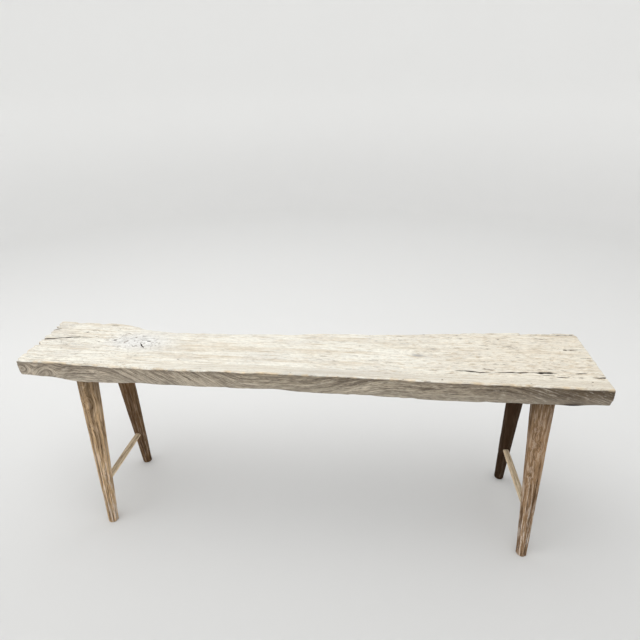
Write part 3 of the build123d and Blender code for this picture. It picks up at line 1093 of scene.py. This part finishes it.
def studio_paper(look):
    """Pale matt paper: a floor with painted shade that makes it a touch darker near the front, and a wall
    lightened by painted light.
    """
    material, tree, shader = new_material("studio paper")
    place = tree.add("ShaderNodeTexCoord").outputs["Object"]
    y, z = tree.parts(place)[1:]
    mottle = tree.noise(place, (1.4, 1.4, 1.4), 3.0, 0.5)
    shadeful = tree.remap(mottle, 0.3, 0.7, 0.996, 1.0)
    # Painted shade darkens the floor towards the front, and painted light brightens the wall as it rises.
    paper = tree.mix(tree.remap(y, -0.55, 0.75), look["floor_near"], look["floor_far"])
    paper = tree.mix(tree.remap(z, 0.0, 0.9), paper, look["wall"])
    tree.feed(shader.inputs["Base Color"], tree.tinted(paper, shadeful))
    shader.inputs["Roughness"].default_value = 0.95
    shader.inputs["Specular IOR Level"].default_value = 0.1
    return material


def shades(settings):
    """A settings group's colours by name, ready for nodes."""
    names = [p.identifier for p in settings.bl_rna.properties if p.subtype == "COLOR"]
    return {name: (*getattr(settings, name), 1.0) for name in names}


# ---- Settings ------------------------------------------------------------

class BenchPlankSettings(bpy.types.PropertyGroup):
    """The plank's wear and colours."""

    split_size: FloatProperty(
        name="Split Size", description="Width of the splits against their measured width",
        default=1.0, min=0.2, max=2.0, subtype="FACTOR",
    )
    worm_holes: IntProperty(
        name="Worm Holes", description="Number of worm holes along the front arris",
        default=64, min=0, max=400,
    )
    worm_radius: metres("Worm Hole Radius", "Radius of a middling worm hole", 0.0008, 0.003, 0.0002)
    top_light: shade_of((226, 223, 212), "Top Light", "Bleached wood of the top")
    top_tan: shade_of((190, 174, 150), "Top Tan", "Warmer streaks of the top")
    top_grey: shade_of((200, 196, 188), "Top Grey", "Weathered patches of the top")
    top_rose: shade_of((219, 210, 193), "Top Rose", "Tanned wood towards the right end")
    burl: shade_of((222, 221, 217), "Burl", "Whitened wood round the burl")
    line: shade_of((112, 96, 80), "Wrinkles", "Fine dark wrinkles in the burl")
    stain: shade_of((128, 127, 130), "Stain", "Grey-blue stains")
    # The front face runs from light at the left to dark at the right, partly the wood's own colour and partly
    # painted shade for light falling from the left.
    face_left: shade_of((208, 194, 174), "Face Left", "Front face at the left")
    face_middle: shade_of((195, 182, 161), "Face Middle", "Front face in the middle")
    face_right: shade_of((114, 99, 80), "Face Right", "Front face at the right")
    face_dark: shade_of((80, 67, 54), "Face Dark", "Dark grain of the faces")
    face_pale: shade_of((216, 206, 189), "Face Pale", "Pale grain of the faces")
    rim: shade_of((216, 192, 156), "Rim", "Warm worn arrises")
    # Painted shade for the splits, pits and worm holes.
    deep: shade_of((44, 31, 22), "Hollows", "Inside splits, pits and holes")


class BenchLegSettings(bpy.types.PropertyGroup):
    """The legs' hewing and colours."""

    hewing: metres("Hewing", "Depth of the hewn flats", 0.0011, 0.004)
    grooves: metres("Grooves", "Depth of the weathered grooves", 0.0020, 0.004)
    flats: FloatProperty(
        name="Flats", description="Number of flats round a leg", default=7.0, min=3.0, max=16.0,
    )
    front_left: shade_of((208, 176, 137), "Front Left", "Wood of the front left leg")
    front_right: shade_of((155, 125, 94), "Front Right", "Wood of the front right leg")
    # The back legs' wood is darker partly from its own colour and partly by painted shade, for their place
    # behind and under the seat.
    back_left: shade_of((118, 91, 63), "Back Left", "Wood of the back left leg")
    back_right: shade_of((60, 42, 24), "Back Right", "Wood of the back right leg")
    pale: shade_of((232, 217, 202), "Pale Fibre", "Worn pale fibres")
    dark: shade_of((66, 46, 30), "Dark Grain", "Grooves and dark grain")


class BenchStretcherSettings(bpy.types.PropertyGroup):
    """The stretchers' hewing and colours."""

    hewing: metres("Hewing", "Depth of the shaved flats", 0.0003, 0.002)
    wood: shade_of((246, 221, 187), "Wood", "Wood of the stretchers")
    pale: shade_of((232, 218, 190), "Pale Fibre", "Worn pale fibres")
    dark: shade_of((128, 108, 80), "Dark Grain", "Dark grain")


class BenchStageSettings(bpy.types.PropertyGroup):
    """The floor and the light."""

    # Painted shade and painted light: the near floor is darker and the wall lighter than the far floor.
    floor_near: shade_of((209, 209, 208), "Near Floor", "Floor in front of the bench")
    floor_far: shade_of((227, 227, 226), "Far Floor", "Floor behind the bench")
    wall: shade_of((245, 245, 244), "Wall", "Backdrop")
    power: FloatProperty(
        name="Light Power", description="Power of the large soft light",
        default=36.0, min=0.0, unit="POWER",
    )
    side_power: FloatProperty(
        name="Side Light Power", description="Power of the soft light from the left",
        default=6.0, min=0.0, unit="POWER",
    )
    sky: FloatProperty(name="Sky", description="Strength of the light from all round", default=0.92, min=0.0)
    radius: FloatProperty(
        name="Floor Radius", description="Flat floor before it curves up",
        default=3.2, min=1.0, unit="LENGTH",
    )


# ---- Operators -----------------------------------------------------------

class BENCH_OT_plank(bpy.types.Operator):
    """Makes the weathered plank with its splits, pits, worm holes and joint holes"""

    bl_idname = "bench.plank"
    bl_label = "Plank"

    def execute(self, context):
        settings = context.scene.bench_plank
        look = shades(settings)
        mesh = plank_mesh()
        set_points(mesh, weathered(mesh_points(mesh), vertex_normals(mesh)))
        plank = new_object("plank", mesh)
        for corner in CORNERS:
            leg = LegLine(corner)
            below = leg.shoulder - Vector((0, 0, 0.05))
            seating = rod("seating", below, leg.shoulder, leg.top_radius + SEATING_RELIEF, 96)
            combine(plank, seating, "DIFFERENCE")
            bottom = leg.tip + leg.way * 0.0008
            mortise = rod("mortise", leg.shoulder - leg.way * 0.03, bottom, MORTISE_RADIUS, 64)
            combine(plank, mortise, "DIFFERENCE")
        for seed, (line, width, depth, open_end) in enumerate(SPLITS):
            combine(plank, blade(line, width * settings.split_size, depth, open_end, seed), "DIFFERENCE")
        for seed, pit in enumerate(PITS):
            combine(plank, pit_mesh(*pit, seed * 3.7), "DIFFERENCE")
        if settings.worm_holes:
            run = np.concatenate((np.linspace(-0.60, 0.0, 30), np.linspace(0.02, 0.60, 60)))
            points = [(x, float(SHAPE.front(x)) + 0.006, SEAT_TOP - 0.001) for x in run]
            arris = bpy.data.meshes.new("arris")
            arris.from_pydata(points, [(i, i + 1) for i in range(len(points) - 1)], [])
            values = {"Count": settings.worm_holes, "Radius": settings.worm_radius}
            combine(plank, made_by(worm_hole_tree(), "worm_holes", values, arris), "DIFFERENCE")
        shade(plank.data, math.radians(48))
        plank_marks(plank.data)
        finish_piece(plank, ["seat_slab"], plank_wood(look))
        return {"FINISHED"}


class BENCH_OT_legs(bpy.types.Operator):
    """Makes the four hewn legs with their tenons, kerfs and stretcher sockets"""

    bl_idname = "bench.legs"
    bl_label = "Legs"

    def execute(self, context):
        settings = context.scene.bench_legs
        look = shades(settings)
        wood = round_wood("hewn leg", {**look, "painted_seat_shadow": 0.64, "painted_underside_shade": 0.86}, 1.10)
        group = hewn_round_tree()
        for seed, corner in enumerate(CORNERS):
            line = LegLine(corner)
            mesh = made_by(group, "round", {
                "Start": line.foot, "End": line.shoulder,
                "Start Radius": line.foot_radius, "End Radius": line.top_radius + LEFT_PROUD[corner],
                "Hewing": settings.hewing, "Grooves": settings.grooves, "Flats": settings.flats,
                "Seed": seed + 1.0, "Material": wood,
            })
            leg = new_object("hewn_leg_" + corner, mesh)
            combine(leg, rod("tenon", line.shoulder - line.way * 0.02, line.tip, TENON_RADIUS, 64), "UNION")
            combine(leg, kerf_mesh(corner), "DIFFERENCE")
            front, back = rod_line("stretcher_" + corner.split("_")[1])
            near, far = (front, back) if corner.startswith("front") else (back, front)
            inward = (far - near).normalized()
            socket = rod("socket", near - inward * 0.0005, near + inward * 0.06, SOCKET_RADIUS, 48)
            combine(leg, socket, "DIFFERENCE")
            shade(leg.data, math.radians(50))
            radii = (line.foot_radius, line.top_radius)
            knots = LEG_KNOTS.get(corner, ())
            # Each leg's hue; the back legs' hues hold painted shade as well as their wood's colour.
            wood_marks(leg.data, line.foot, line.shoulder, radii, look[corner], seed * 0.37, knots)
            finish_piece(leg, ["leg_" + corner], wood)
        return {"FINISHED"}


class BENCH_OT_stretchers(bpy.types.Operator):
    """Makes the two shaved stretchers with the tenons that fit the legs"""

    bl_idname = "bench.stretchers"
    bl_label = "Stretchers"

    def execute(self, context):
        settings = context.scene.bench_stretchers
        look = shades(settings)
        wood = round_wood("shaved stretcher", {**look, "painted_seat_shadow": 1.0, "painted_underside_shade": 0.58}, 1.10)
        group = bpy.data.node_groups.get("hewn_round") or hewn_round_tree()
        for seed, (node, side) in enumerate(STRETCHERS.items()):
            front, back = rod_line(node)
            along = (back - front).normalized()
            across = along.cross(Vector((0, 0, 1))).normalized()
            mesh = made_by(group, "round", {
                "Start": front, "End": back, "Across A": across, "Across B": across.cross(along),
                "Start Radius": ROD_END_RADIUS, "End Radius": ROD_END_RADIUS, "Start Rounding": 0.0003,
                "Belly": 0.0005, "Plain Length": 0.020, "Belly Length": 0.030,
                "Hewing": settings.hewing, "Grooves": 0.0003, "Flats": 6.0,
                "Sides": 64, "Rings": 130, "Seed": seed + 9.0, "Material": wood,
            })
            stretcher = new_object("shaved_stretcher_" + side, mesh)
            shade(stretcher.data, math.radians(50))
            wood_marks(stretcher.data, front, back, (ROD_RADIUS, ROD_RADIUS), look["wood"], 2 + seed * 0.4)
            finish_piece(stretcher, [node], wood)
        return {"FINISHED"}


class BENCH_OT_wedges(bpy.types.Operator):
    """Gives the hidden tenon wedges their wood"""

    bl_idname = "bench.wedges"
    bl_label = "Wedges"

    def execute(self, context):
        wood = wedge_wood()
        for corner in CORNERS:
            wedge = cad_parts["wedge_" + corner]
            if not wedge.material_slots:
                wedge.data.materials.append(wood)
            for slot in wedge.material_slots:
                slot.material = wood
        return {"FINISHED"}


class BENCH_OT_stage(bpy.types.Operator):
    """Makes the pale floor and backdrop, the soft light and the camera"""

    bl_idname = "bench.stage"
    bl_label = "Stage"

    def execute(self, context):
        settings = context.scene.bench_stage
        scene = context.scene
        # A floor disc that curves up into a wall all round.
        bend = np.linspace(0, math.pi / 2, 20)
        reach = np.concatenate(([0.6, 1.4, 2.4], settings.radius + np.sin(bend), [settings.radius + 1]))
        height = np.concatenate(([0, 0, 0], 1 - np.cos(bend), [3.6]))
        sides = 96
        turn = np.linspace(0, 2 * math.pi, sides, endpoint=False)
        points = [(0.0, 0.0, 0.0)]
        for r, h in zip(reach, height):
            points += [(r * math.cos(t), r * math.sin(t), h) for t in turn]
        faces = [(0, 1 + i, 1 + (i + 1) % sides) for i in range(sides)]
        for ring in range(len(reach) - 1):
            base = 1 + ring * sides
            for i in range(sides):
                j = (i + 1) % sides
                faces.append((base + i, base + sides + i, base + sides + j, base + j))
        mesh = bpy.data.meshes.new("floor")
        mesh.from_pydata(points, [], faces)
        mesh.shade_smooth()
        floor = new_object("floor", mesh)
        floor.data.materials.append(studio_paper(shades(settings)))

        lamps = (
            ("soft_light", (-0.5, -0.5, 2.9), 3.0, 2.2, settings.power),
            ("side_light", (-2.5, -1.3, 1.5), 1.6, 1.4, settings.side_power),
        )
        for name, place, wide, tall, power in lamps:
            lamp = bpy.data.lights.new(name, "AREA")
            lamp.shape = "RECTANGLE"
            lamp.size, lamp.size_y = wide, tall
            lamp.energy = power
            light = bpy.data.objects.new(name, lamp)
            light.location = place
            towards = Vector((0, 0, 0.3)) - Vector(place)
            light.rotation_euler = towards.to_track_quat("-Z", "Y").to_euler()
            scene.collection.objects.link(light)

        world = bpy.data.worlds.new("sky")
        world.use_nodes = True
        world.node_tree.nodes["Background"].inputs[0].default_value = (1, 1, 1, 1)
        world.node_tree.nodes["Background"].inputs[1].default_value = settings.sky
        scene.world = world

        lens = bpy.data.cameras.new("camera")
        lens.lens = 27.443
        lens.sensor_width = 36.0
        camera = bpy.data.objects.new("camera", lens)
        yaw, pitch, roll = math.radians(-6.707), math.radians(25.770), math.radians(-0.715)
        ahead = Vector((math.sin(yaw) * math.cos(pitch), math.cos(yaw) * math.cos(pitch), -math.sin(pitch)))
        level = Vector((math.cos(yaw), -math.sin(yaw), 0.0))
        upward = level.cross(ahead)
        right = math.cos(roll) * level + math.sin(roll) * upward
        up = math.cos(roll) * upward - math.sin(roll) * level
        turned = Matrix((right, up, -ahead)).transposed().to_4x4()
        eye = Vector((0.1515, -0.9556, 0.9871))
        camera.matrix_world = Matrix.Translation(eye) @ turned
        scene.collection.objects.link(camera)
        scene.camera = camera
        scene.view_settings.view_transform = "Standard"
        return {"FINISHED"}


class BENCH_PT_panel(bpy.types.Panel):
    """Lists the bench's pieces and settings"""

    bl_label = "Plank Bench"
    bl_idname = "BENCH_PT_panel"
    bl_space_type = "VIEW_3D"
    bl_region_type = "UI"
    bl_category = "Bench"

    def draw(self, context):
        groups = {
            BENCH_OT_plank: "bench_plank", BENCH_OT_legs: "bench_legs",
            BENCH_OT_stretchers: "bench_stretchers", BENCH_OT_wedges: None, BENCH_OT_stage: "bench_stage",
        }
        for operator, group in groups.items():
            box = self.layout.box()
            box.operator(operator.bl_idname)
            if group:
                settings = getattr(context.scene, group)
                for name in settings.__annotations__:
                    box.prop(settings, name)


SETTINGS = {
    "bench_plank": BenchPlankSettings, "bench_legs": BenchLegSettings,
    "bench_stretchers": BenchStretcherSettings, "bench_stage": BenchStageSettings,
}
PIECES = (BENCH_OT_plank, BENCH_OT_legs, BENCH_OT_stretchers, BENCH_OT_wedges, BENCH_OT_stage)


def register():
    for kind in (*SETTINGS.values(), *PIECES, BENCH_PT_panel):
        bpy.utils.register_class(kind)
    for name, kind in SETTINGS.items():
        setattr(bpy.types.Scene, name, PointerProperty(type=kind))


def unregister():
    for name in SETTINGS:
        delattr(bpy.types.Scene, name)
    for kind in (BENCH_PT_panel, *reversed(PIECES), *reversed(tuple(SETTINGS.values()))):
        bpy.utils.unregister_class(kind)


def main():
    register()
    for kind in PIECES:
        group, name = kind.bl_idname.split(".")
        getattr(getattr(bpy.ops, group), name)()


if __name__ == "__main__":
    main()
